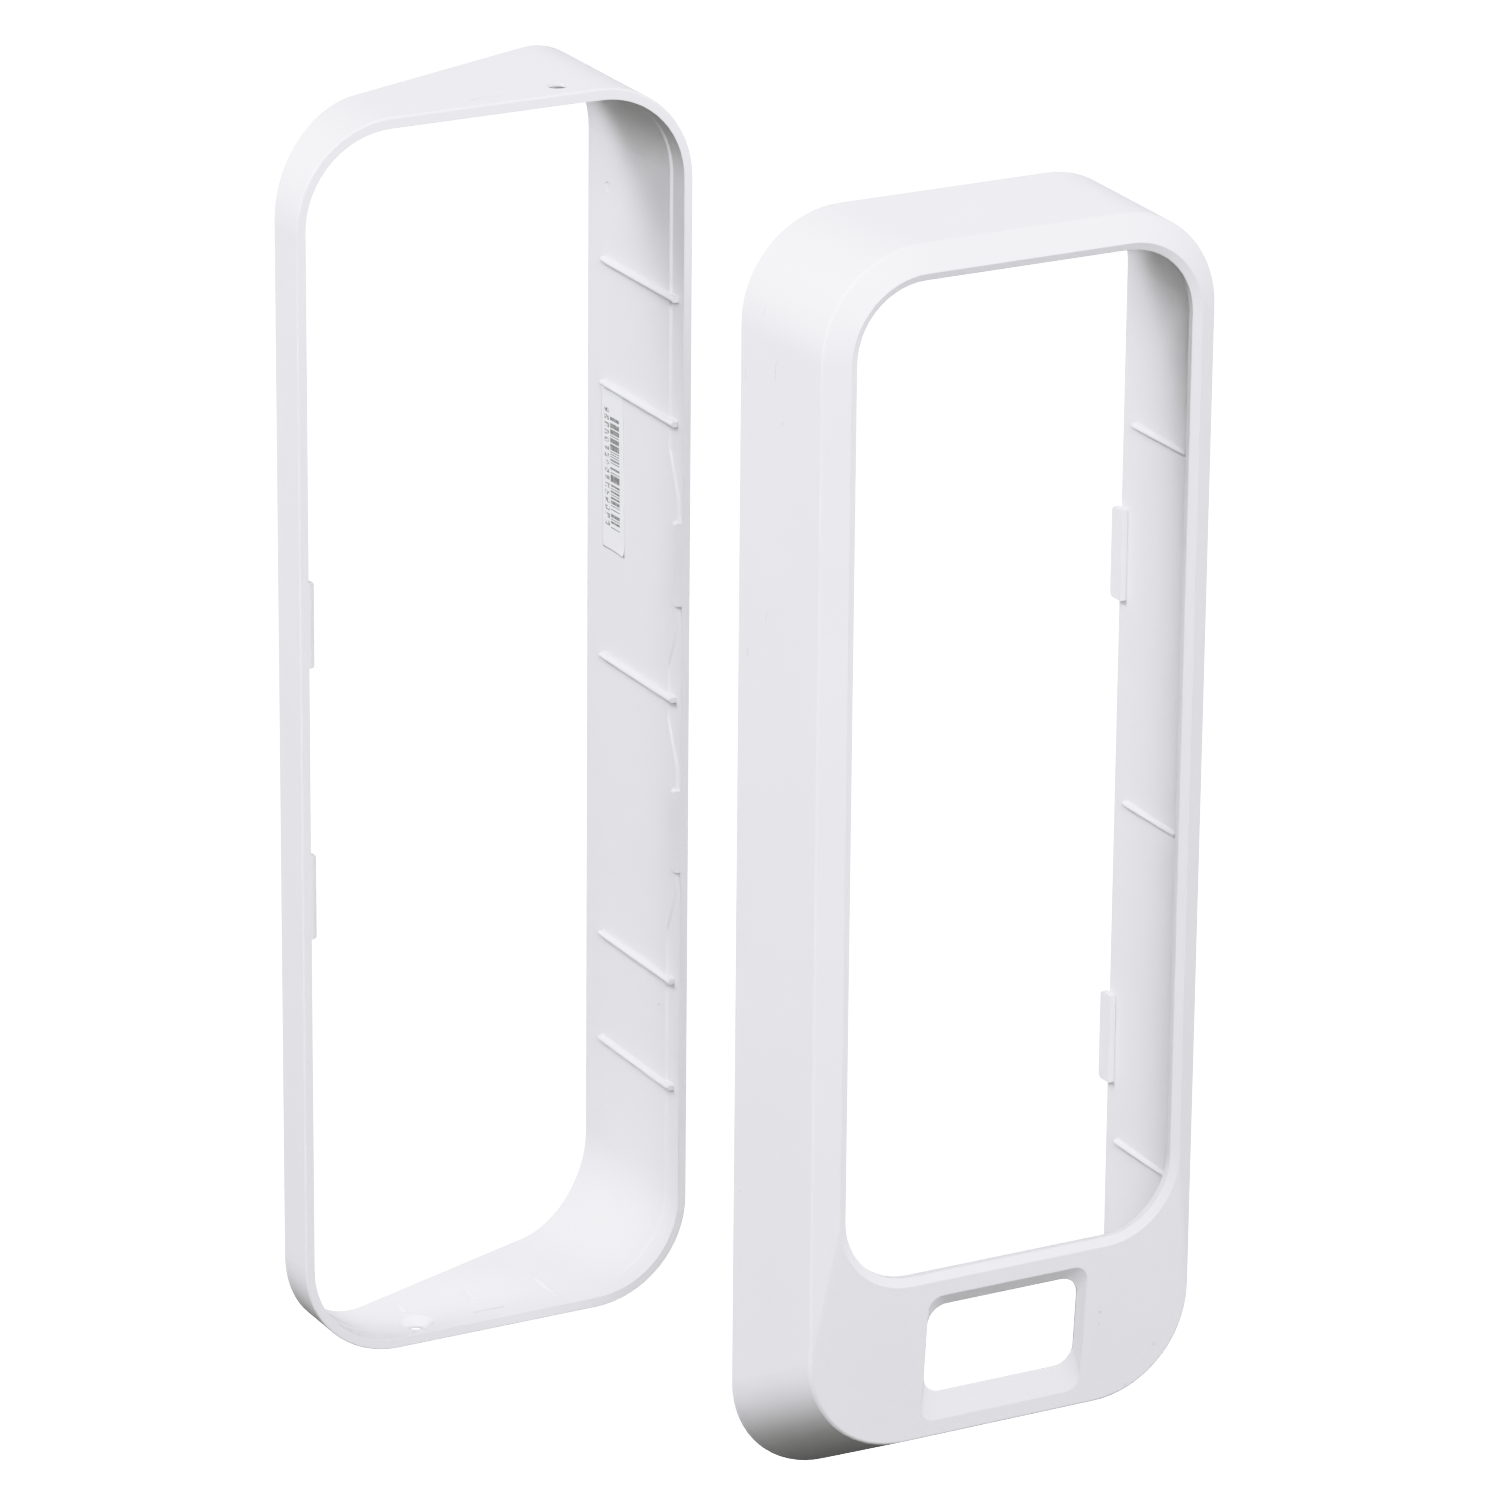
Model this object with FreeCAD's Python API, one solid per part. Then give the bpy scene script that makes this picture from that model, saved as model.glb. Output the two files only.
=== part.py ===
"""Two-piece trim set for a tall wall-mounted reader: a wedge rear frame and a bezel front frame.

Both are thin-walled moulded rings. The rear frame screws to the wall and turns the device
sideways by the wedge angle. The front frame seats on the rear frame's front rim, with four
tongues that go inside it. Here they lie apart, as they are supplied.

Row frame: +Z up, fronts towards -Y. The origin is on the rear frame's back face, in the middle
of its bottom wall. All sizes are in millimetres.
"""
import FreeCAD, Part
import math
import os

# ---- sizes of the set
HEIGHT = 300.0
WIDTH = 100.0
CORNER_RADIUS = 24.0
WALL = 2.7
EDGE_ROUND = 0.5            # small radius on the visible outer edges

# ---- rear frame
WEDGE_ANGLE = 20.0          # back face against front rim, degrees
REAR_DEPTH_MIN = 12.0       # depth of the shallow side wall
RIM_WALL = 2.3              # wall left beside the rabbet
RABBET_DEPTH = 5.6          # from the rim to the foot of the rabbet's slope
RABBET_SLOPE = 0.8          # depth over which the wall gets back to full thickness
SNAP_OFFSET = 33.0          # snap bars above and below mid height
SNAP_LENGTH = 20.5
SNAP_HEIGHT = 1.25
SNAP_RAMP = 0.8             # depth of the ramp that leads in from the rim
SNAP_LAND = 1.1
SNAP_BACK = 0.6             # depth of the slope behind the land
SNAP_CORNER = 0.35          # broken corner at each end
PAD_TOP = 30.0              # full-depth stretch of the pad round a bar
PAD_BASE = 56.0
PAD_SETBACK = 0.9           # from the rim to the pad
REAR_RIB_OFFSETS = (-98.5, -71.5, -1.0, 66.5, 96.5)
REAR_RIB_START = 2.6        # behind the rim
REAR_RIB_SETBACK = 8.5      # from the rib's end to the back face
END_RIBS = ((-18.0, 12.5, 4.0), (0.0, 11.5, 5.5), (18.0, 5.5, 10.0))    # x, start, length
END_RIB_HEIGHT = 0.7
SCREW_X = 18.5
SCREW_Y = 6.6               # behind the rim
SCREW_HOLE = 4.6
SCREW_HEAD = 8.5            # countersink diameter, inside
SLOT_LENGTH = 8.3
SLOT_WIDTH = 0.9
SLOT_Y = 5.4                # behind the rim
DIMPLE_DIAMETER = 2.4
DIMPLE_DEPTH = 0.15
DIMPLES = ((37.3, 114.3), (9.2, -80.7))    # behind the rim, above mid height

# ---- label on the deep side wall
LABEL_WIDTH = 11.0
LABEL_LENGTH = 39.3
LABEL_THICKNESS = 0.12
LABEL_Y = 34.2              # centre, behind the rim
LABEL_RISE = 45.8           # centre, above mid height
LABEL_TILT = 1.6            # degrees, as stuck on by hand
LABEL_CORNER = 0.4

# ---- front frame
FRONT_DEPTH = 35.0          # back edge to the edge of the face
SIDE_DRAFT = 0.9            # each side wall leans in by this much at the front
UNDERSIDE_RISE = 18.1       # the underside climbs by this much towards the front
CREST_RISE = 3.7            # the face's crest stands this far in front of its edge
CREST_INSET = 6.3
CREST_TOP_INSET = 5.7
CREST_RADIUS = 18.5
CREST_BOTTOM = 57.8
LIP_INSET = 1.9             # chamfer round the opening
LIP_DROP = 1.0
FACE_WALL = 2.7
FACE_TURN = 2.0             # from the face's edge back to where the hollow turns
FACE_ROUND = 0.9

# ---- window in the chin, measured along the chin's slope
WINDOW_WIDTH = 41.2
WINDOW_HEIGHT = 32.0
WINDOW_BOTTOM = 4.0         # above the chin's lower edge
WINDOW_RADIUS = 3.6
HOLE_SIDE = 1.25            # recess wall, seen from the front
HOLE_TOP = 3.5
HOLE_BOTTOM = 6.2
HOLE_RADIUS = 4.6
RECESS_DEPTH = 1.9

# ---- tongues and ribs of the front frame
TONGUE_OFFSETS = (-58.5, 58.5)
TONGUE_LENGTH = 21.5
TONGUE_REACH = 1.5          # past the back edge
TONGUE_ROOT = 3.0           # along the wall
TONGUE_THICKNESS = 1.3
TONGUE_CHAMFER = 0.7
TONGUE_CLEARANCE = 0.3      # to the rear frame's inner wall
FRONT_RIB_OFFSETS = (-83.0, 0.0, 90.0)
FRONT_RIB_START = 5.5
FRONT_RIB_LENGTH = 23.0
RIB_WIDTH = 1.4
RIB_HEIGHT = 1.3

# ---- where the front frame lies, from the rear frame's rim
APART_X = 62.3
APART_Y = 93.7
APART_Z = -3.0

# ---- worked out
HALF = WIDTH / 2
MID_Z = HEIGHT / 2
SLOPE = math.tan(math.radians(WEDGE_ANGLE))
RIM_Y = -(REAR_DEPTH_MIN + HALF * SLOPE)
INNER_X = HALF - WALL
OVERLAP = 0.4               # how far added features sink into a wall
OUTSIDE = 2.0               # how far cutters stand clear
TOLERANCE = 1e-3

vec = FreeCAD.Vector


def outline(half_width, z_low, z_high, radius, y):
    """Closed rounded-rectangle wire in the plane at y."""
    left, right = -half_width, half_width
    bend = radius * (1 - math.sqrt(0.5))
    low_in, high_in = z_low + radius, z_high - radius
    left_in, right_in = left + radius, right - radius

    def p(x, z):
        return vec(x, y, z)

    edges = [
        Part.makeLine(p(left_in, z_low), p(right_in, z_low)),
        Part.Arc(p(right_in, z_low), p(right - bend, z_low + bend), p(right, low_in)).toShape(),
        Part.makeLine(p(right, low_in), p(right, high_in)),
        Part.Arc(p(right, high_in), p(right - bend, z_high - bend), p(right_in, z_high)).toShape(),
        Part.makeLine(p(right_in, z_high), p(left_in, z_high)),
        Part.Arc(p(left_in, z_high), p(left + bend, z_high - bend), p(left, high_in)).toShape(),
        Part.makeLine(p(left, high_in), p(left, low_in)),
        Part.Arc(p(left, low_in), p(left + bend, z_low + bend), p(left_in, z_low)).toShape(),
    ]
    return Part.Wire(edges)


def inset_outline(inset, y):
    """The set's outline, moved inwards by inset."""
    return outline(HALF - inset, inset, HEIGHT - inset, CORNER_RADIUS - inset, y)


def prism(wire, direction):
    return Part.Face(wire).extrude(direction)


def polygon_prism(points, direction):
    wire = Part.makePolygon(list(points) + [points[0]])
    return prism(wire, direction)


def loft(*wires):
    """Ruled solid through the wires."""
    return Part.makeLoft(list(wires), True, True)


def block(x0, x1, y0, y1, z0, z1):
    return Part.makeBox(x1 - x0, y1 - y0, z1 - z0, vec(x0, y0, z0))


def mirrored(shape):
    return shape.mirror(vec(0, 0, 0), vec(1, 0, 0))


def back_y(x):
    """Y of the rear frame's back plane at x."""
    return x * SLOPE


# ---------------------------------------------------------------- rear frame
def behind_back_plane():
    far = WIDTH
    deep = far * SLOPE + WIDTH
    points = (vec(-far, back_y(-far), -OUTSIDE), vec(far, back_y(far), -OUTSIDE),
              vec(far, deep, -OUTSIDE), vec(-far, deep, -OUTSIDE))
    return polygon_prism(points, vec(0, 0, HEIGHT + 2 * OUTSIDE))


def rabbet_outline(y):
    """Rabbet's outline: it thins the side walls to the rim wall and fades out round the corners."""
    return outline(HALF - RIM_WALL, WALL, HEIGHT - WALL, CORNER_RADIUS - WALL, y)


def rear_shell():
    """Rounded ring, cut off slantwise at the back, with a rabbet behind the front rim."""
    length = back_y(HALF) - RIM_Y + OUTSIDE
    ring = prism(inset_outline(0, RIM_Y), vec(0, length, 0))
    ring = ring.cut(prism(inset_outline(WALL, RIM_Y - OUTSIDE), vec(0, length + 2 * OUTSIDE, 0)))
    ring = ring.cut(behind_back_plane())
    foot = RIM_Y + RABBET_DEPTH
    rabbet = prism(rabbet_outline(RIM_Y - OUTSIDE), vec(0, OUTSIDE + RABBET_DEPTH, 0))
    slope = loft(rabbet_outline(foot), inset_outline(WALL, foot + RABBET_SLOPE))
    return ring.cut(rabbet.fuse(slope))


def snap_pad(centre_z):
    """Trapezoid that fills the rabbet of the right-hand wall round a snap bar, with sloping edges."""
    step = WALL - RIM_WALL
    foot = RIM_Y + RABBET_DEPTH + RABBET_SLOPE + OVERLAP

    def outline_at(x, spread):
        near = RIM_Y + PAD_SETBACK + SNAP_RAMP - spread
        top, base = PAD_TOP / 2 + spread, PAD_BASE / 2 + spread
        points = (vec(x, near, centre_z - top), vec(x, near, centre_z + top),
                  vec(x, foot, centre_z + base), vec(x, foot, centre_z - base))
        return Part.makePolygon(list(points) + [points[0]])

    inside = outline_at(INNER_X, 0)
    middle = outline_at(INNER_X + step, RABBET_SLOPE)
    root = polygon_prism([v.Point for v in middle.OrderedVertexes], vec(OVERLAP, 0, 0))
    return loft(inside, middle).fuse(root)


def snap_bar(centre_z):
    """Bar along the right-hand wall, flush with the rim: a short ramp, a land and a slope back."""
    foot = HALF - RIM_WALL + OVERLAP
    crest_x = INNER_X - SNAP_HEIGHT
    land = RIM_Y + SNAP_RAMP
    end = land + SNAP_LAND + SNAP_BACK
    half = SNAP_LENGTH / 2
    section = (vec(foot, RIM_Y, 0), vec(INNER_X, RIM_Y, 0), vec(crest_x, land, 0),
               vec(crest_x, land + SNAP_LAND, 0), vec(INNER_X, end, 0), vec(foot, end, 0))
    bar = polygon_prism(section, vec(0, 0, SNAP_LENGTH))
    bar.translate(vec(0, 0, centre_z - half))
    low, high = centre_z - half, centre_z + half
    broken_x = crest_x + SNAP_CORNER
    side = (vec(foot, RIM_Y, low), vec(broken_x, RIM_Y, low), vec(crest_x, RIM_Y, low + SNAP_CORNER),
            vec(crest_x, RIM_Y, high - SNAP_CORNER), vec(broken_x, RIM_Y, high), vec(foot, RIM_Y, high))
    return bar.common(polygon_prism(side, vec(0, end - RIM_Y, 0)))


def wall_rib(start_y, length, centre_z):
    """Low rib along the depth of the right-hand wall, with a half-round top."""
    half = RIB_WIDTH / 2
    flat = RIB_HEIGHT - half
    centre = vec(INNER_X - flat, start_y, centre_z)
    root = block(INNER_X - flat, INNER_X + OVERLAP, start_y, start_y + length,
                 centre_z - half, centre_z + half)
    return root.fuse(Part.makeCylinder(half, length, centre, vec(0, 1, 0)))


def end_rib(x, start_y, length, up):
    """The same rib on the bottom wall (up is 1) or the top wall (up is -1)."""
    half = RIB_WIDTH / 2
    flat = END_RIB_HEIGHT - half
    face_z = WALL if up > 0 else HEIGHT - WALL
    low, high = sorted((face_z - up * OVERLAP, face_z + up * flat))
    root = block(x - half, x + half, start_y, start_y + length, low, high)
    return root.fuse(Part.makeCylinder(half, length, vec(x, start_y, face_z + up * flat), vec(0, 1, 0)))


def screw_cut(x, up):
    """Screw hole through the bottom wall (up is 1) or top wall, countersunk on the inside."""
    outer_z = 0 if up > 0 else HEIGHT
    y = RIM_Y + SCREW_Y
    sink = (SCREW_HEAD - SCREW_HOLE) / 2
    axis = vec(0, 0, up)
    hole = Part.makeCylinder(SCREW_HOLE / 2, WALL + 2 * OUTSIDE, vec(x, y, outer_z - up * OUTSIDE), axis)
    cone = Part.makeCone(SCREW_HOLE / 2, SCREW_HEAD / 2 + OVERLAP, sink + OVERLAP,
                         vec(x, y, outer_z + up * (WALL - sink)), axis)
    return hole.fuse(cone)


def slot_cut(up):
    """Narrow release slot through the middle of the bottom or top wall."""
    y = RIM_Y + SLOT_Y
    low = -OUTSIDE if up > 0 else HEIGHT - WALL - OUTSIDE
    half = (SLOT_LENGTH - SLOT_WIDTH) / 2
    height = WALL + 2 * OUTSIDE
    middle = block(-half, half, y - SLOT_WIDTH / 2, y + SLOT_WIDTH / 2, low, low + height)
    for x in (-half, half):
        middle = middle.fuse(Part.makeCylinder(SLOT_WIDTH / 2, height, vec(x, y, low), vec(0, 0, 1)))
    return middle


def dimple(y, z):
    """Shallow ejector mark on the inside of the right-hand wall."""
    start = vec(INNER_X - OUTSIDE, y, z)
    return Part.makeCylinder(DIMPLE_DIAMETER / 2, DIMPLE_DEPTH + OUTSIDE, start, vec(1, 0, 0))


def round_outer_edges(shape, radius, planes):
    """Round the outer outline's edges that lie in the given planes."""
    chosen = []
    for edge in shape.Edges:
        middle = edge.valueAt((edge.FirstParameter + edge.LastParameter) / 2)
        points = [v.Point for v in edge.Vertexes] + [middle]
        if any(all(plane(p) for p in points) for plane in planes):
            chosen.append(edge)
    return shape.makeFillet(radius, chosen)


def on_outer_skin(p):
    """True for a point on the straight prism that is the rear frame's outside."""
    if abs(abs(p.x) - HALF) < TOLERANCE or abs(p.z) < TOLERANCE or abs(p.z - HEIGHT) < TOLERANCE:
        return True
    dx = abs(p.x) - (HALF - CORNER_RADIUS)
    dz = abs(p.z - MID_Z) - (MID_Z - CORNER_RADIUS)
    return dx > 0 and dz > 0 and abs(math.hypot(dx, dz) - CORNER_RADIUS) < TOLERANCE


def make_rear_frame():
    shell = round_outer_edges(rear_shell(), EDGE_ROUND, (
        lambda p: abs(p.y - RIM_Y) < TOLERANCE and on_outer_skin(p),
        lambda p: abs(p.y - back_y(p.x)) < TOLERANCE and on_outer_skin(p)))
    rib_end = back_y(INNER_X) - REAR_RIB_SETBACK
    added = []
    for side in (-1, 1):
        pad = snap_pad(MID_Z + side * SNAP_OFFSET)
        bar = snap_bar(MID_Z + side * SNAP_OFFSET)
        added += [pad, bar, mirrored(pad), mirrored(bar)]
    for offset in REAR_RIB_OFFSETS:
        start = RIM_Y + REAR_RIB_START
        added.append(wall_rib(start, rib_end - start, MID_Z + offset))
    for x, start, length in END_RIBS:
        added.append(end_rib(x, RIM_Y + start, length, 1))
        added.append(end_rib(-x, RIM_Y + start, length, -1))
    frame = shell.multiFuse(added).removeSplitter()
    frame = frame.cut(screw_cut(-SCREW_X, 1)).cut(screw_cut(SCREW_X, -1))
    frame = frame.cut(slot_cut(1)).cut(slot_cut(-1))
    for depth, rise in DIMPLES:
        frame = frame.cut(dimple(RIM_Y + depth, MID_Z + rise))
    return frame


def make_serial_label():
    """Label on the inside of the deep side wall, a little off square."""
    centre = vec(INNER_X, RIM_Y + LABEL_Y, MID_Z + LABEL_RISE)
    corner = centre - vec(LABEL_THICKNESS, LABEL_WIDTH / 2, LABEL_LENGTH / 2)
    tag = Part.makeBox(LABEL_THICKNESS, LABEL_WIDTH, LABEL_LENGTH, corner)
    upright = [e for e in tag.Edges if abs(e.Length - LABEL_THICKNESS) < TOLERANCE]
    tag = tag.makeFillet(LABEL_CORNER, upright)
    tag.rotate(centre, vec(1, 0, 0), -LABEL_TILT)
    return tag


# ---------------------------------------------------------------- front frame
def face_outline(y):
    """Outline of the front frame where its walls meet the face."""
    return outline(HALF - SIDE_DRAFT, UNDERSIDE_RISE, HEIGHT, CORNER_RADIUS, y)


def crest_outline(inset, y):
    """Outline of the face's crest, moved inwards by inset."""
    return outline(HALF - CREST_INSET - inset, CREST_BOTTOM + inset, HEIGHT - CREST_TOP_INSET - inset,
                   CREST_RADIUS - inset, y)


def front_block():
    """The front frame's outside, as a solid: drafted walls, then a face that rises to a crest."""
    walls = loft(inset_outline(0, 0), face_outline(-FRONT_DEPTH))
    face = loft(face_outline(-FRONT_DEPTH), crest_outline(0, -FRONT_DEPTH - CREST_RISE))
    return walls.fuse(face).removeSplitter()


def front_cavity():
    """The hollow inside the front frame, one wall thickness in from the outside."""
    rise = UNDERSIDE_RISE / FRONT_DEPTH
    under = WALL * math.hypot(1, rise)
    turn = FRONT_DEPTH - FACE_TURN
    behind = outline(INNER_X + OUTSIDE * SIDE_DRAFT / FRONT_DEPTH, under - OUTSIDE * rise, HEIGHT - WALL,
                     CORNER_RADIUS - WALL, OUTSIDE)
    at_turn = outline(INNER_X - turn * SIDE_DRAFT / FRONT_DEPTH, under + turn * rise, HEIGHT - WALL,
                      CORNER_RADIUS - WALL, -turn)
    at_crest = crest_outline(0, -FRONT_DEPTH - CREST_RISE + FACE_WALL)
    return loft(behind, at_turn).fuse(loft(at_turn, at_crest)).removeSplitter()


def opening_cut():
    """The main opening with the chamfered lip round it."""
    crest_y = -FRONT_DEPTH - CREST_RISE
    lip = loft(crest_outline(-LIP_INSET, crest_y - LIP_DROP), crest_outline(LIP_INSET, crest_y + LIP_DROP))
    bore = prism(crest_outline(LIP_INSET, crest_y + LIP_DROP), vec(0, FRONT_DEPTH, 0))
    return lip.fuse(bore)


CHIN_RUN = CREST_BOTTOM - UNDERSIDE_RISE
CHIN_TILT = math.degrees(math.atan2(CREST_RISE, CHIN_RUN))


def on_chin(shape):
    """Move a shape drawn at the origin, z up the chin and -y outwards, onto the chin."""
    placed = shape.copy()
    placed.rotate(vec(0, 0, 0), vec(1, 0, 0), CHIN_TILT)
    placed.translate(vec(0, -FRONT_DEPTH, UNDERSIDE_RISE))
    return placed


def recess_outline(depth):
    """Outline of the sloping recess at a depth; it shrinks from the window to the hole."""
    t = depth / RECESS_DEPTH
    return outline(WINDOW_WIDTH / 2 - HOLE_SIDE * t, WINDOW_BOTTOM + HOLE_BOTTOM * t,
                   WINDOW_BOTTOM + WINDOW_HEIGHT - HOLE_TOP * t,
                   WINDOW_RADIUS + (HOLE_RADIUS - WINDOW_RADIUS) * t, depth)


def window_cut():
    """Sloping recess, and the hole behind it."""
    recess = loft(recess_outline(-OVERLAP), recess_outline(RECESS_DEPTH))
    hole = prism(recess_outline(RECESS_DEPTH), vec(0, FACE_WALL + OUTSIDE, 0))
    return on_chin(recess.fuse(hole))


def tongue(centre_z):
    """Tongue on the right-hand wall: it starts on the wall and reaches past the back edge."""
    outer = INNER_X - TONGUE_CLEARANCE
    inner = outer - TONGUE_THICKNESS
    half = TONGUE_LENGTH / 2
    cut = TONGUE_CHAMFER
    low, high = centre_z - half, centre_z + half
    points = (vec(inner, -TONGUE_ROOT, low), vec(inner, TONGUE_REACH - cut, low),
              vec(inner, TONGUE_REACH, low + cut), vec(inner, TONGUE_REACH, high - cut),
              vec(inner, TONGUE_REACH - cut, high), vec(inner, -TONGUE_ROOT, high))
    reach = polygon_prism(points, vec(TONGUE_THICKNESS, 0, 0))
    root = block(inner, INNER_X + OVERLAP, -TONGUE_ROOT, 0, low, high)
    return reach.fuse(root).removeSplitter()


def make_front_frame():
    solid = round_outer_edges(front_block(), FACE_ROUND,
                              (lambda p: abs(p.y + FRONT_DEPTH) < TOLERANCE,))
    frame = solid.cut(front_cavity())
    frame = frame.cut(opening_cut()).cut(window_cut())
    added = []
    for offset in TONGUE_OFFSETS:
        piece = tongue(MID_Z + offset)
        added += [piece, mirrored(piece)]
    for offset in FRONT_RIB_OFFSETS:
        rib = wall_rib(-FRONT_RIB_START - FRONT_RIB_LENGTH, FRONT_RIB_LENGTH, MID_Z + offset)
        added += [rib, mirrored(rib)]
    frame = frame.multiFuse(added).removeSplitter()
    frame.translate(vec(APART_X, RIM_Y - APART_Y, APART_Z))
    return frame


# ---------------------------------------------------------------- output
def main():
    nodes = {
        "rear_frame": make_rear_frame(),
        "serial_label": make_serial_label(),
        "front_frame": make_front_frame(),
    }
    os.makedirs("parts", exist_ok=True)
    for name, shape in nodes.items():
        shape.translate(vec(0, 0, -WALL / 2))    # the origin lies halfway up the bottom wall
        print(name, len(shape.Solids), "solid", shape.isValid(), round(shape.Volume, 1))
        shape.exportStep(os.path.join("parts", name + ".step"))


main()
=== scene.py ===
import math

import bmesh
import bpy
from mathutils import Matrix, Vector


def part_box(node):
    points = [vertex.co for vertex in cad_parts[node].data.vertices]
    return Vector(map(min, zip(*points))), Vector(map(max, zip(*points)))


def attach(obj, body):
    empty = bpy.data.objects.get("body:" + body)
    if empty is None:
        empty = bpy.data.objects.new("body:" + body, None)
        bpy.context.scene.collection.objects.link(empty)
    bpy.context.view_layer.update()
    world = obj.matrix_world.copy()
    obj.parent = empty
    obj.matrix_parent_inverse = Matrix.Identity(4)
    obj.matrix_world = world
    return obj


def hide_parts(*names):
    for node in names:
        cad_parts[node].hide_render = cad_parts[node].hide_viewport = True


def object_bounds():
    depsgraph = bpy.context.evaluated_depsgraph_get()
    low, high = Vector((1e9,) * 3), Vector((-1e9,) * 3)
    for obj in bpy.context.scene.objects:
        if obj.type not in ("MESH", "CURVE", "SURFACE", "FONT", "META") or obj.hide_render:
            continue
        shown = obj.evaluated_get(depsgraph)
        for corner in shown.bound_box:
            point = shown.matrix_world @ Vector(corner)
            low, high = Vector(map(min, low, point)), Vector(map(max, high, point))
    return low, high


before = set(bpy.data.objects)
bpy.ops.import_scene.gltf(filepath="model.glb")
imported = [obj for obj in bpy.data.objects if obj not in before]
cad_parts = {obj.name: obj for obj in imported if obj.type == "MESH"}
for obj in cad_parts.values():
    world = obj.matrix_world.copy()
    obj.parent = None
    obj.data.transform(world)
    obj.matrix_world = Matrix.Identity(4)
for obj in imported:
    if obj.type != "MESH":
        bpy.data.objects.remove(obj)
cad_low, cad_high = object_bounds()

# Sizes are in metres, angles in degrees.
MM = 0.001

# ---- camera
VIEW_AZIMUTH = -28.3155
VIEW_ELEVATION = 20.1254
VIEW_ROLL = 0.5377
VIEW_DISTANCE = 2.0175
LENS = 212.4                    # millimetres, as is the sensor's width
SENSOR_WIDTH = 36.0
AIM_OFFSET = Vector((0.01027, -0.00348, 0.00494))

# ---- stage and light
FLOOR_DROP = 0.35
FLOOR_SIZE = 30.0
SKY_STRENGTH = 0.7
# sine of the elevation, share of the strength: a low reflector all round
SKY_BANDS = ((-1.0, 0.0), (-0.47, 0.0), (-0.43, 1.0), (-0.17, 1.0), (-0.13, 0.0), (1.0, 0.0))
SOFTBOX_DISTANCE = 2.3
SOFTBOX_SIZE = 0.9
# name, azimuth, elevation, power
SOFTBOXES = (
    ("front_softbox", -20.0, 35.0, 46.0),
    ("low_front_softbox", -10.0, 22.0, 18.0),
    ("left_softbox", -60.0, 25.0, 5.0),
    ("high_left_softbox", -80.0, 55.0, 8.2),
    ("side_left_softbox", -105.0, 40.0, 37.5),
    ("low_back_left_softbox", -110.0, 15.0, 10.5),
    ("back_left_softbox", -120.0, 50.0, 12.0),
    ("right_softbox", 60.0, 20.0, 28.0),
    ("back_right_softbox", 135.0, 30.0, 14.0),
)

# ---- tone curve: shades stay as they are up to the knee, then bend over softly towards white
FULL_WHITE = 4.0                # brightness that is shown as pure white
KNEE = 0.5
SHOULDER_STOPS = (0.65, 0.8, 1.0, 1.25, 1.6, 2.0, 2.6, 3.3)
COOL_WHITES = ((0.1, 0.1), (0.3, 0.325), (0.5, 0.53))    # blue in, blue out, as shares of FULL_WHITE
BLUE_CURVE = 2
COMBINED_CURVE = 3

# ---- the frames' own sizes
TONGUE_REACH = 1.5 * MM         # past the front frame's back edge
FRONT_DEPTH = 35.0 * MM
CHIN_FOOT = 18.1 * MM           # the chin's lower edge, above the front frame's lowest point
CHIN_LEAN = 3.7 / 39.7          # how far the chin comes forward for each step up

# ---- plastic; noise scales are in repeats per metre
WHITE = (0.662, 0.662, 0.674, 1.0)
DIRT = (0.30, 0.29, 0.28, 1.0)
PLASTIC_IOR = 1.46
RIPPLE_SCALE = 160.0
RIPPLE_HEIGHT = 1.4             # as a share of the grain's height
CLOUD_SCALE = 30.0
SKIN_BUMP = 0.35
SPECK_STRENGTH = 0.6
SPECK_EDGE_SCALE = 1500.0
SCUFF_WOBBLE = 0.6 * MM
SCUFF_WOBBLE_SCALE = 500.0
SCUFF_BREAK_SCALE = 2200.0
SCUFF_REACH = 1.5 * MM          # so that a scuff marks only the wall it lies on
MID_NOISE = (0.3, 0.7)          # the range that most of a noise lies in

# ---- label sheet
LABEL_WIDTH = 11.0 * MM
LABEL_LENGTH = 39.3 * MM
LABEL_CORNER = 0.4 * MM
LABEL_TILT = 1.6
SHEET_THICKNESS = 0.09 * MM
SHEET_STANDOFF = 0.05 * MM      # from the wall to the middle of the sheet
SHEET_COLUMNS = 20
SHEET_ROWS = 78
CORNER_LIFT = 0.55 * MM         # how far the bottom front corner has come unstuck
LIFT_START = 0.82               # share of the way to that corner at which it begins
LIFT_SKEW = 0.6                 # what a step across the sheet counts beside a step along it
WAVE_HEIGHT = 0.02 * MM
WAVE_ALONG = 3.1 * MM
WAVE_ACROSS = 4.0 * MM

# ---- label print, in millimetres; a field is (across), (along), from the label's middle
BAR_FIELD = ((-3.5, 1.1), (-14.4, 13.2))
BAR_MODULE = 0.30
BAR_SEED = 3.0
BAR_SHARE = 0.56
BAR_INK = 0.86
MARK_FIELD = ((1.6, 4.0), (-14.2, 15.0))
MARK_CELL = (0.62, 0.42)
MARK_SHARE = 0.62
MARK_PITCH = 1.85
MARK_SPAN = (0.16, 0.80)        # part of each pitch that is printed
MARK_START = -40.0              # below the middle, where the pitches are counted from
MARK_INK = 0.78
PAPER = (0.73, 0.735, 0.73, 1.0)
INK = (0.05, 0.05, 0.055, 1.0)
PAPER_IOR = 1.5
WORN_INK_SCALE = 900.0          # per metre, as for the plastic
FIBRE_SCALE = 2500.0
FIBRE_HEIGHT = 0.02 * MM
PAPER_BUMP = 0.2

front_low, front_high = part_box("front_frame")
label_low, label_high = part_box("serial_label")
scene = bpy.context.scene


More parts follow.
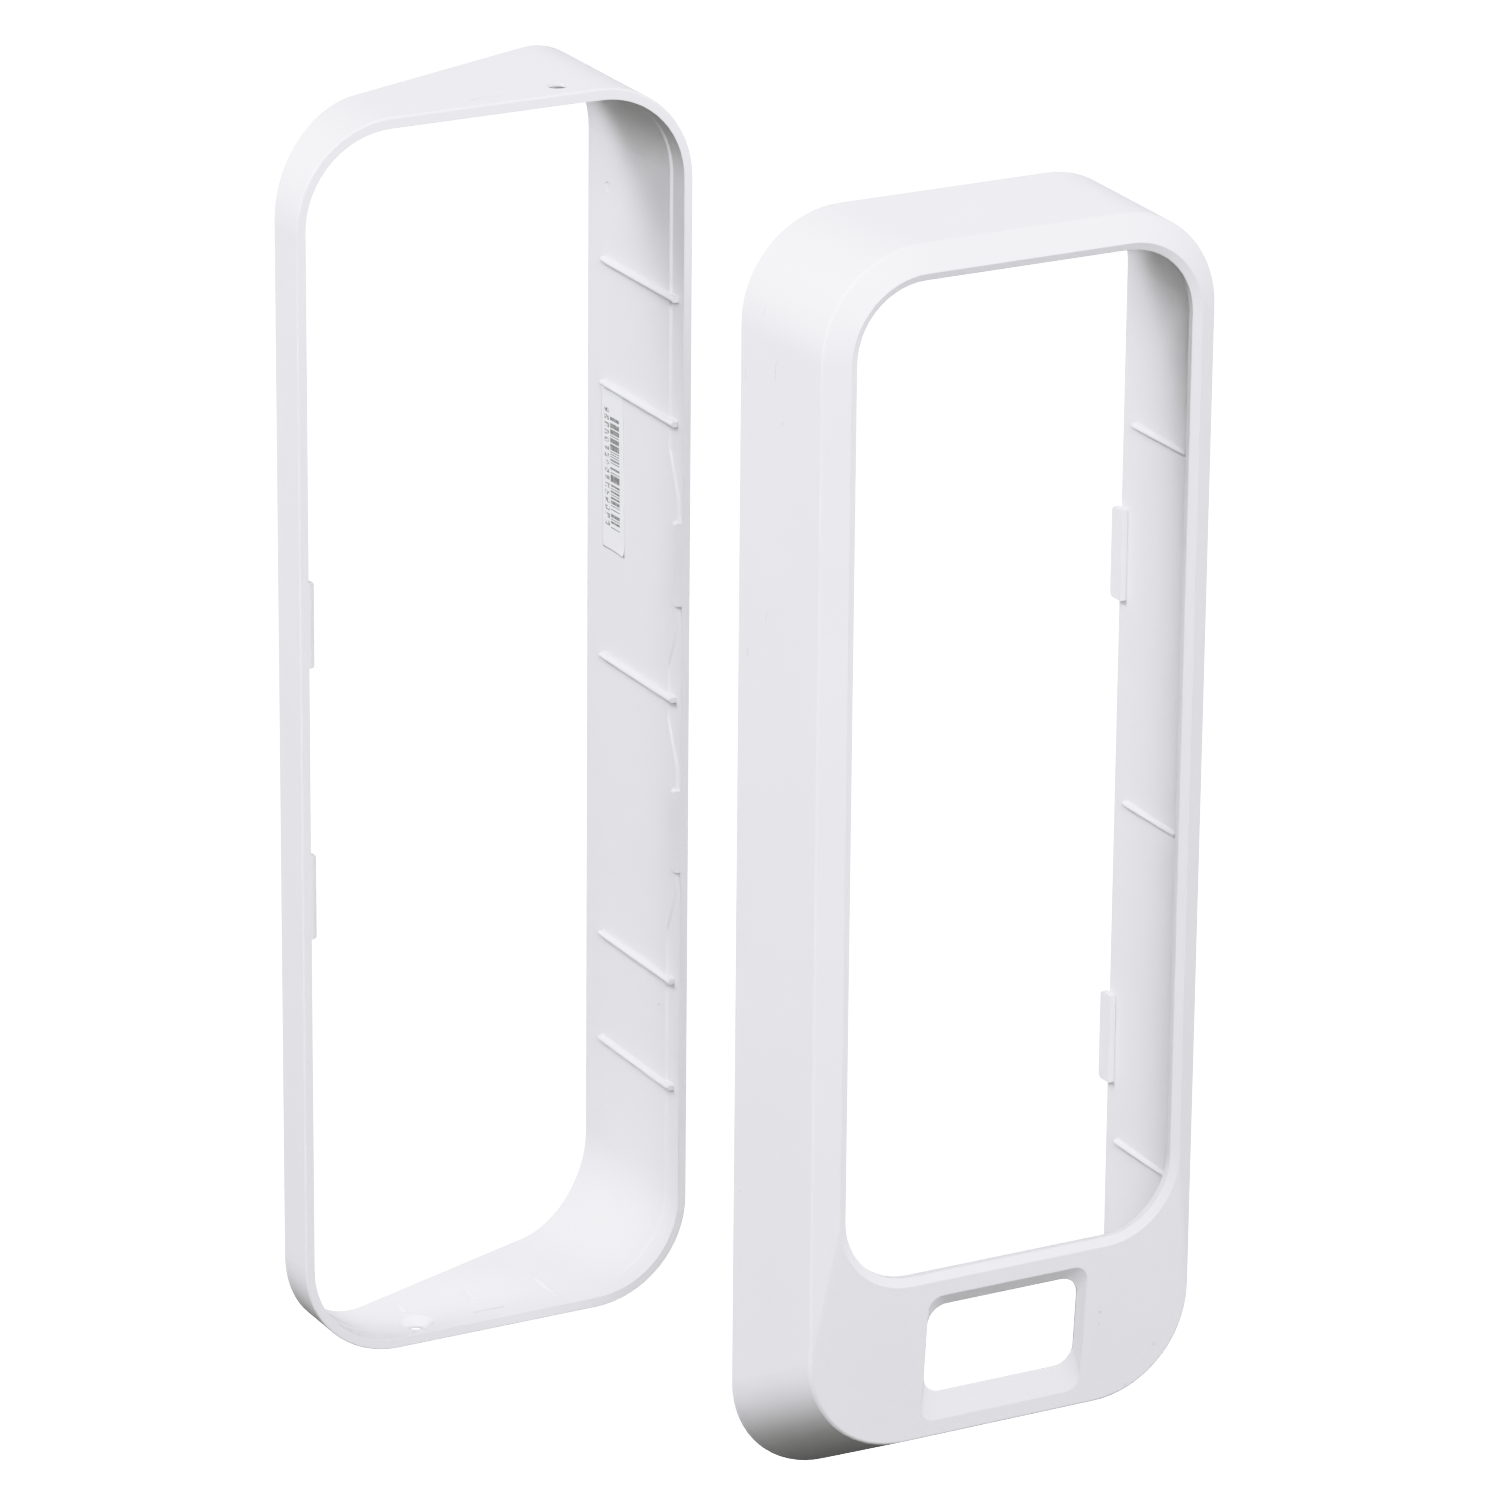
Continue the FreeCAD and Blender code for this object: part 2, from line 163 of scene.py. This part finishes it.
# ---------------------------------------------------------------- node helpers
def new_material(name):
    material = bpy.data.materials.new(name)
    material.use_nodes = True
    tree = material.node_tree
    tree.nodes.clear()
    output = tree.nodes.new("ShaderNodeOutputMaterial")
    shader = tree.nodes.new("ShaderNodeBsdfPrincipled")
    tree.links.new(shader.outputs["BSDF"], output.inputs["Surface"])
    return material, tree, shader


def new_group(name, inputs, outputs):
    """Node group with named sockets. Each entry is (name, socket type, default or None)."""
    group = bpy.data.node_groups.new(name, "ShaderNodeTree")
    for label, kind, default in inputs:
        socket = group.interface.new_socket(name=label, in_out="INPUT", socket_type=kind)
        if default is not None:
            socket.default_value = default
    for label, kind, _ in outputs:
        group.interface.new_socket(name=label, in_out="OUTPUT", socket_type=kind)
    return group, group.nodes.new("NodeGroupInput"), group.nodes.new("NodeGroupOutput")


def place_group(tree, group, **values):
    """Place the group in the tree with its own values; Grain_Size sets the input Grain Size."""
    node = tree.nodes.new("ShaderNodeGroup")
    node.node_tree = group
    for label, value in values.items():
        node.inputs[label.replace("_", " ")].default_value = value
    return node


def feed(tree, socket, value):
    """Link the value to the socket if it is another node's output, or set it if it is a number."""
    if hasattr(value, "is_linked"):
        tree.links.new(value, socket)
    else:
        socket.default_value = value


def noise(tree, vector, scale, detail=2.0, roughness=0.5):
    node = tree.nodes.new("ShaderNodeTexNoise")
    node.inputs["Detail"].default_value = detail
    node.inputs["Roughness"].default_value = roughness
    feed(tree, node.inputs["Scale"], scale)
    feed(tree, node.inputs["Vector"], vector)
    return node.outputs["Fac"]


def maths(tree, operation, a, b=None, clamp=False):
    node = tree.nodes.new("ShaderNodeMath")
    node.operation = operation
    node.use_clamp = clamp
    feed(tree, node.inputs[0], a)
    if b is not None:
        feed(tree, node.inputs[1], b)
    return node.outputs[0]


def spread(tree, value, low, high, to_low=0.0, to_high=1.0):
    """Stretch low..high to to_low..to_high; a value outside it stays at the nearer end."""
    node = tree.nodes.new("ShaderNodeMapRange")
    labels = ("Value", "From Min", "From Max", "To Min", "To Max")
    for label, number in zip(labels, (value, low, high, to_low, to_high)):
        feed(tree, node.inputs[label], number)
    return node.outputs["Result"]


def mix_colour(tree, factor, first, second):
    node = tree.nodes.new("ShaderNodeMix")
    node.data_type = "RGBA"
    feed(tree, node.inputs["Factor"], factor)
    feed(tree, node.inputs[6], first)
    feed(tree, node.inputs[7], second)
    return node.outputs[2]


def scaled_colour(tree, colour, factor):
    node = tree.nodes.new("ShaderNodeVectorMath")
    node.operation = "SCALE"
    tree.links.new(colour, node.inputs[0])
    tree.links.new(factor, node.inputs["Scale"])
    return node.outputs["Vector"]


def object_place(tree):
    return tree.nodes.new("ShaderNodeTexCoord").outputs["Object"]


# ---------------------------------------------------------------- shared effects
def make_moulded_skin():
    """Fine matt texture of a moulding tool: a tight grain, a slower ripple, and slight shade changes."""
    group, inputs, outputs = new_group(
        "moulded_skin",
        [("Colour", "NodeSocketColor", (0.8, 0.8, 0.8, 1.0)), ("Grain Size", "NodeSocketFloat", 0.35),
         ("Grain Depth", "NodeSocketFloat", 0.02), ("Roughness", "NodeSocketFloat", 0.5),
         ("Edge Radius", "NodeSocketFloat", 0.3)],
        [("Colour", "NodeSocketColor", None), ("Roughness", "NodeSocketFloat", None),
         ("Normal", "NodeSocketVector", None)])
    here = object_place(group)
    grain = noise(group, here, maths(group, "DIVIDE", 1.0 / MM, inputs.outputs["Grain Size"]), 3.0)
    ripple = noise(group, here, RIPPLE_SCALE, 2.0)
    cloud = noise(group, here, CLOUD_SCALE, 3.0, 0.6)
    soft_edge = group.nodes.new("ShaderNodeBevel")
    soft_edge.samples = 6
    edge_radius = maths(group, "MULTIPLY", inputs.outputs["Edge Radius"], MM)
    group.links.new(edge_radius, soft_edge.inputs["Radius"])
    height = maths(group, "ADD", grain, maths(group, "MULTIPLY", ripple, RIPPLE_HEIGHT))
    bump = group.nodes.new("ShaderNodeBump")
    bump.inputs["Strength"].default_value = SKIN_BUMP
    depth = maths(group, "MULTIPLY", inputs.outputs["Grain Depth"], MM)
    group.links.new(depth, bump.inputs["Distance"])
    group.links.new(height, bump.inputs["Height"])
    group.links.new(soft_edge.outputs["Normal"], bump.inputs["Normal"])
    group.links.new(bump.outputs["Normal"], outputs.inputs["Normal"])
    mottle = spread(group, grain, *MID_NOISE, 0.985, 1.015)
    shade = maths(group, "MULTIPLY", mottle, spread(group, cloud, *MID_NOISE, 0.985, 1.01))
    group.links.new(scaled_colour(group, inputs.outputs["Colour"], shade), outputs.inputs["Colour"])
    dulling = spread(group, grain, *MID_NOISE, -0.05, 0.05)
    group.links.new(maths(group, "ADD", inputs.outputs["Roughness"], dulling), outputs.inputs["Roughness"])
    return group


def make_specks():
    """Mask of sparse tiny handling marks, each a fraction of a millimetre."""
    group, inputs, outputs = new_group(
        "handling_specks",
        [("Spacing", "NodeSocketFloat", 14.0), ("Amount", "NodeSocketFloat", 0.05)],
        [("Mask", "NodeSocketFloat", None)])
    here = object_place(group)
    cells = group.nodes.new("ShaderNodeTexVoronoi")
    group.links.new(here, cells.inputs["Vector"])
    scale = maths(group, "DIVIDE", 1.0 / MM, inputs.outputs["Spacing"])
    group.links.new(scale, cells.inputs["Scale"])
    near = spread(group, cells.outputs["Distance"], 0.0, inputs.outputs["Amount"], 1.0, 0.0)
    rough_edge = spread(group, noise(group, here, SPECK_EDGE_SCALE, 2.0), 0.42, 0.6)
    mask = maths(group, "MULTIPLY", near, rough_edge, clamp=True)
    group.links.new(mask, outputs.inputs["Mask"])
    return group


def make_scuff():
    """Mask of one short scuff: a thin streak along Turn, broken up by noise."""
    group, inputs, outputs = new_group(
        "scuff",
        [("Place", "NodeSocketVector", None), ("Turn", "NodeSocketVector", None),
         ("Length", "NodeSocketFloat", 3.0), ("Breadth", "NodeSocketFloat", 0.4)],
        [("Mask", "NodeSocketFloat", None)])
    here = object_place(group)
    mapping = group.nodes.new("ShaderNodeMapping")
    mapping.vector_type = "TEXTURE"
    group.links.new(here, mapping.inputs["Vector"])
    group.links.new(inputs.outputs["Place"], mapping.inputs["Location"])
    group.links.new(inputs.outputs["Turn"], mapping.inputs["Rotation"])
    unevenness = maths(group, "SUBTRACT", noise(group, here, SCUFF_WOBBLE_SCALE, 2.0), 0.5)
    wobble = maths(group, "MULTIPLY", unevenness, SCUFF_WOBBLE)
    split = group.nodes.new("ShaderNodeSeparateXYZ")
    group.links.new(mapping.outputs["Vector"], split.inputs["Vector"])
    across = maths(group, "ADD", maths(group, "ABSOLUTE", split.outputs["Y"]), wobble)
    away = maths(group, "ABSOLUTE", split.outputs["X"])
    along = maths(group, "ABSOLUTE", split.outputs["Z"])
    half_breadth = maths(group, "MULTIPLY", inputs.outputs["Breadth"], MM / 2)
    half_length = maths(group, "MULTIPLY", inputs.outputs["Length"], MM / 2)
    in_width = spread(group, maths(group, "DIVIDE", across, half_breadth), 0.3, 1.2, 1.0, 0.0)
    in_length = spread(group, maths(group, "DIVIDE", along, half_length), 0.5, 1.1, 1.0, 0.0)
    on_wall = maths(group, "LESS_THAN", away, SCUFF_REACH)
    broken = spread(group, noise(group, here, SCUFF_BREAK_SCALE, 2.0), 0.35, 0.6)
    streak = maths(group, "MULTIPLY", maths(group, "MULTIPLY", in_width, in_length), on_wall)
    group.links.new(maths(group, "MULTIPLY", streak, broken, clamp=True), outputs.inputs["Mask"])
    return group


# ---------------------------------------------------------------- materials
def make_white_plastic(name, skin, specks, scuff, scuffs):
    """Matt white moulded plastic. Each scuff is (place, turn about the axes, length, breadth, strength)."""
    material, tree, shader = new_material(name)
    surface = place_group(tree, skin, Colour=WHITE, Grain_Size=0.45, Grain_Depth=0.08, Roughness=0.62,
                          Edge_Radius=0.3)
    marks = place_group(tree, specks, Spacing=16.0, Amount=0.035)
    soiled = maths(tree, "MULTIPLY", marks.outputs["Mask"], SPECK_STRENGTH)
    for place, turn, length, breadth, strength in scuffs:
        streak = place_group(tree, scuff, Place=place, Turn=turn, Length=length, Breadth=breadth)
        soiled = maths(tree, "MAXIMUM", soiled, maths(tree, "MULTIPLY", streak.outputs["Mask"], strength))
    worn = mix_colour(tree, soiled, surface.outputs["Colour"], DIRT)
    tree.links.new(worn, shader.inputs["Base Color"])
    tree.links.new(surface.outputs["Roughness"], shader.inputs["Roughness"])
    tree.links.new(surface.outputs["Normal"], shader.inputs["Normal"])
    shader.inputs["IOR"].default_value = PLASTIC_IOR
    return material


def front_scuffs():
    """Handling marks on the front frame's left wall, and specks on its chin."""
    back_y = front_high.y - TONGUE_REACH
    middle_x = (front_low.x + front_high.x) / 2
    # y from the back edge, z from the lowest point, turn, length, breadth, strength
    wall = [(-9.2, 281.0, 12.0, 2.2, 0.55, 0.6), (-2.2, 265.0, -6.0, 3.0, 0.5, 0.55),
            (-15.6, 271.0, 30.0, 2.6, 0.5, 0.8), (-15.2, 268.6, -4.0, 3.6, 0.5, 0.75),
            (-12.3, 212.0, 8.0, 2.4, 0.5, 0.6), (-4.3, 201.5, 0.0, 2.6, 0.5, 0.65)]
    # x from the middle, z from the lowest point, size, strength
    chin = [(24.8, 41.0, 0.9, 0.6), (24.8, 38.0, 0.7, 0.5), (33.0, 20.6, 0.8, 0.5), (40.0, 29.5, 0.9, 0.6)]
    marks = []
    for y, z, turn, length, breadth, strength in wall:
        place = (front_low.x, back_y + y * MM, front_low.z + z * MM)
        marks.append((place, (math.radians(turn), 0.0, 0.0), length, breadth, strength))
    for x, z, size, strength in chin:
        climb = (z * MM - CHIN_FOOT) * CHIN_LEAN
        place = (middle_x + x * MM, back_y - FRONT_DEPTH - climb, front_low.z + z * MM)
        marks.append((place, (0.0, 0.0, math.radians(90.0)), size, size, strength))
    return marks


def make_label_print():
    """Coated paper with a ladder of random bars and a line of meaningless marks beside it."""
    material, tree, shader = new_material("printed_label")
    split = tree.nodes.new("ShaderNodeSeparateXYZ")
    here = object_place(tree)
    tree.links.new(here, split.inputs["Vector"])
    across = maths(tree, "DIVIDE", split.outputs["Y"], MM)
    along = maths(tree, "DIVIDE", split.outputs["Z"], MM)

    def between(value, low, high):
        above = maths(tree, "GREATER_THAN", value, low)
        return maths(tree, "MULTIPLY", above, maths(tree, "LESS_THAN", value, high))

    def random_steps(value, step, seed):
        cell = maths(tree, "ADD", maths(tree, "FLOOR", maths(tree, "DIVIDE", value, step)), seed)
        node = tree.nodes.new("ShaderNodeTexWhiteNoise")
        node.noise_dimensions = "1D"
        tree.links.new(cell, node.inputs["W"])
        return node.outputs["Value"]

    def inside(field):
        return maths(tree, "MULTIPLY", between(across, *field[0]), between(along, *field[1]))

    bars = maths(tree, "LESS_THAN", random_steps(along, BAR_MODULE, BAR_SEED), BAR_SHARE)
    bars = maths(tree, "MULTIPLY", bars, inside(BAR_FIELD))
    cell = tree.nodes.new("ShaderNodeTexWhiteNoise")
    cell.noise_dimensions = "2D"
    steps = tree.nodes.new("ShaderNodeCombineXYZ")
    for place, step, axis in zip((across, along), MARK_CELL, ("X", "Y")):
        tree.links.new(maths(tree, "FLOOR", maths(tree, "DIVIDE", place, step)), steps.inputs[axis])
    tree.links.new(steps.outputs["Vector"], cell.inputs["Vector"])
    strokes = maths(tree, "LESS_THAN", cell.outputs["Value"], MARK_SHARE)
    climbed = maths(tree, "SUBTRACT", along, MARK_START)
    pitch = maths(tree, "FRACT", maths(tree, "DIVIDE", climbed, MARK_PITCH))
    marks = maths(tree, "MULTIPLY", strokes, between(pitch, *MARK_SPAN))
    marks = maths(tree, "MULTIPLY", marks, inside(MARK_FIELD))
    inked_marks = maths(tree, "MULTIPLY", marks, MARK_INK)
    ink = maths(tree, "MAXIMUM", maths(tree, "MULTIPLY", bars, BAR_INK), inked_marks)
    worn = spread(tree, noise(tree, here, WORN_INK_SCALE, 3.0), 0.32, 0.6, 0.72, 1.0)
    fibres = spread(tree, noise(tree, here, FIBRE_SCALE, 3.0), *MID_NOISE, 0.975, 1.015)
    paper = tree.nodes.new("ShaderNodeRGB")
    paper.outputs[0].default_value = PAPER
    fibrous = scaled_colour(tree, paper.outputs[0], fibres)
    printed = mix_colour(tree, maths(tree, "MULTIPLY", ink, worn), fibrous, INK)
    tree.links.new(printed, shader.inputs["Base Color"])
    bump = tree.nodes.new("ShaderNodeBump")
    bump.inputs["Strength"].default_value = PAPER_BUMP
    bump.inputs["Distance"].default_value = FIBRE_HEIGHT
    tree.links.new(fibres, bump.inputs["Height"])
    tree.links.new(bump.outputs["Normal"], shader.inputs["Normal"])
    tree.links.new(spread(tree, ink, 0.0, 1.0, 0.42, 0.55), shader.inputs["Roughness"])
    shader.inputs["IOR"].default_value = PAPER_IOR
    return material


def assign(obj, material):
    obj.data.materials.clear()
    obj.data.materials.append(material)


# ---------------------------------------------------------------- label
def make_label(material):
    """Thin sheet stuck on the deep side wall, a little off square, lifting at its bottom front corner."""
    half_width = LABEL_WIDTH / 2
    half_length = LABEL_LENGTH / 2
    mesh = bpy.data.meshes.new("label_sheet")
    shape = bmesh.new()

    def sheet_point(column, row):
        z = half_length * (2 * row / SHEET_ROWS - 1)
        past = max(0.0, abs(z) - (half_length - LABEL_CORNER))
        narrow = LABEL_CORNER - math.sqrt(max(0.0, LABEL_CORNER ** 2 - past ** 2))
        y = (half_width - narrow) * (2 * column / SHEET_COLUMNS - 1)
        nearness = (-z - y * LIFT_SKEW) / (half_length + half_width * LIFT_SKEW)
        corner = max(0.0, nearness - LIFT_START) / (1 - LIFT_START)
        wave = WAVE_HEIGHT * (1 + math.sin(z / WAVE_ALONG + y / WAVE_ACROSS))
        return Vector((-CORNER_LIFT * corner ** 2 - wave, y, z))

    points = [[shape.verts.new(sheet_point(column, row)) for column in range(SHEET_COLUMNS + 1)]
              for row in range(SHEET_ROWS + 1)]
    for lower, upper in zip(points, points[1:]):
        for c in range(SHEET_COLUMNS):
            shape.faces.new((lower[c], lower[c + 1], upper[c + 1], upper[c]))
    bmesh.ops.recalc_face_normals(shape, faces=shape.faces)
    shape.to_mesh(mesh)
    shape.free()
    for polygon in mesh.polygons:
        polygon.use_smooth = True
    label = bpy.data.objects.new("label_sheet", mesh)
    scene.collection.objects.link(label)
    thickness = label.modifiers.new("thickness", "SOLIDIFY")
    thickness.thickness = SHEET_THICKNESS
    thickness.offset = 0.0
    middle = (label_low + label_high) / 2
    label.location = Vector((label_high.x - SHEET_STANDOFF, middle.y, middle.z))
    label.rotation_euler = (math.radians(-LABEL_TILT), 0.0, 0.0)
    mesh.materials.append(material)
    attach(label, "rear_frame")
    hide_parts("serial_label")


# ---------------------------------------------------------------- stage, lights, camera
def make_floor():
    """Floor that shows as even white, and neither lights the frames nor shades them."""
    mesh = bpy.data.meshes.new("floor")
    half = FLOOR_SIZE / 2
    z = cad_low.z - FLOOR_DROP
    corners = [(-half, -half, z), (half, -half, z), (half, half, z), (-half, half, z)]
    mesh.from_pydata(corners, [], [(0, 1, 2, 3)])
    floor = bpy.data.objects.new("floor", mesh)
    scene.collection.objects.link(floor)
    material, tree, shader = new_material("pale_floor")
    shader.inputs["Base Color"].default_value = (0.0, 0.0, 0.0, 1.0)
    shader.inputs["Specular IOR Level"].default_value = 0.0
    shader.inputs["Emission Color"].default_value = (1.0, 1.0, 1.0, 1.0)
    shader.inputs["Emission Strength"].default_value = FULL_WHITE
    mesh.materials.append(material)
    floor.visible_diffuse = False
    floor.visible_glossy = False
    floor.visible_shadow = False


def make_world():
    """Dark surroundings with one white band all round, a little below the horizon."""
    world = bpy.data.worlds.new("studio")
    scene.world = world
    world.use_nodes = True
    tree = world.node_tree
    background = tree.nodes["Background"]
    background.inputs["Color"].default_value = (1.0, 1.0, 1.0, 1.0)
    split = tree.nodes.new("ShaderNodeSeparateXYZ")
    tree.links.new(tree.nodes.new("ShaderNodeTexCoord").outputs["Generated"], split.inputs["Vector"])
    bands = tree.nodes.new("ShaderNodeValToRGB")
    stops = bands.color_ramp.elements
    for _ in range(len(SKY_BANDS) - len(stops)):
        stops.new(0.5)
    for stop, (height, share) in zip(stops, SKY_BANDS):
        stop.position = (height + 1) / 2
        stop.color = (share, share, share, 1.0)
    tree.links.new(spread(tree, split.outputs["Z"], -1.0, 1.0), bands.inputs["Fac"])
    strength = maths(tree, "MULTIPLY", bands.outputs["Color"], SKY_STRENGTH)
    tree.links.new(strength, background.inputs["Strength"])


def compass(azimuth, elevation):
    """Direction from the object; azimuth 0 is in front of it and -90 on its left."""
    turn = math.radians(azimuth)
    climb = math.radians(elevation)
    return Vector((math.sin(turn) * math.cos(climb), -math.cos(turn) * math.cos(climb), math.sin(climb)))


def make_lights():
    centre = (cad_low + cad_high) / 2
    for name, azimuth, elevation, power in SOFTBOXES:
        data = bpy.data.lights.new(name, "AREA")
        data.shape = "SQUARE"
        data.size = SOFTBOX_SIZE
        data.energy = power
        light = bpy.data.objects.new(name, data)
        outwards = compass(azimuth, elevation)
        light.location = centre + outwards * SOFTBOX_DISTANCE
        light.rotation_mode = "QUATERNION"
        light.rotation_quaternion = (-outwards).to_track_quat("-Z", "Y")
        scene.collection.objects.link(light)


def make_camera():
    back = compass(VIEW_AZIMUTH, VIEW_ELEVATION)
    data = bpy.data.cameras.new("camera")
    data.lens = LENS
    data.sensor_width = SENSOR_WIDTH
    data.clip_start = 0.01
    data.clip_end = 50.0
    camera = bpy.data.objects.new("camera", data)
    camera.location = (cad_low + cad_high) / 2 + AIM_OFFSET + back * VIEW_DISTANCE
    camera.rotation_mode = "QUATERNION"
    roll = Matrix.Rotation(math.radians(VIEW_ROLL), 3, "Z")
    camera.rotation_quaternion = ((-back).to_track_quat("-Z", "Y").to_matrix() @ roll).to_quaternion()
    scene.collection.objects.link(camera)
    scene.camera = camera


def shoulder(brightness):
    """Shade that a brightness is shown as: the same up to the knee, and bent over above it."""
    if brightness <= KNEE:
        return brightness
    room = 1.0 - KNEE
    return KNEE + room * (1.0 - math.exp(-(brightness - KNEE) / room))


def make_tone_curve():
    """Tone curve that keeps the shades of bright white surfaces apart, and cools them slightly."""
    scene.view_settings.view_transform = "Standard"
    scene.view_settings.use_curve_mapping = True
    mapping = scene.view_settings.curve_mapping
    mapping.white_level = (FULL_WHITE, FULL_WHITE, FULL_WHITE)
    for brightness in (KNEE / 2, KNEE) + SHOULDER_STOPS:
        mapping.curves[COMBINED_CURVE].points.new(brightness / FULL_WHITE, shoulder(brightness))
    for blue_in, blue_out in COOL_WHITES:
        mapping.curves[BLUE_CURVE].points.new(blue_in, blue_out)
    mapping.update()


# ---------------------------------------------------------------- the scene
make_camera()
skin = make_moulded_skin()
specks = make_specks()
scuff = make_scuff()
rear_plastic = make_white_plastic("rear_white_plastic", skin, specks, scuff, [])
front_plastic = make_white_plastic("front_white_plastic", skin, specks, scuff, front_scuffs())
assign(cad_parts["rear_frame"], rear_plastic)
assign(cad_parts["front_frame"], front_plastic)
make_label(make_label_print())
make_floor()
make_world()
make_lights()
make_tone_curve()
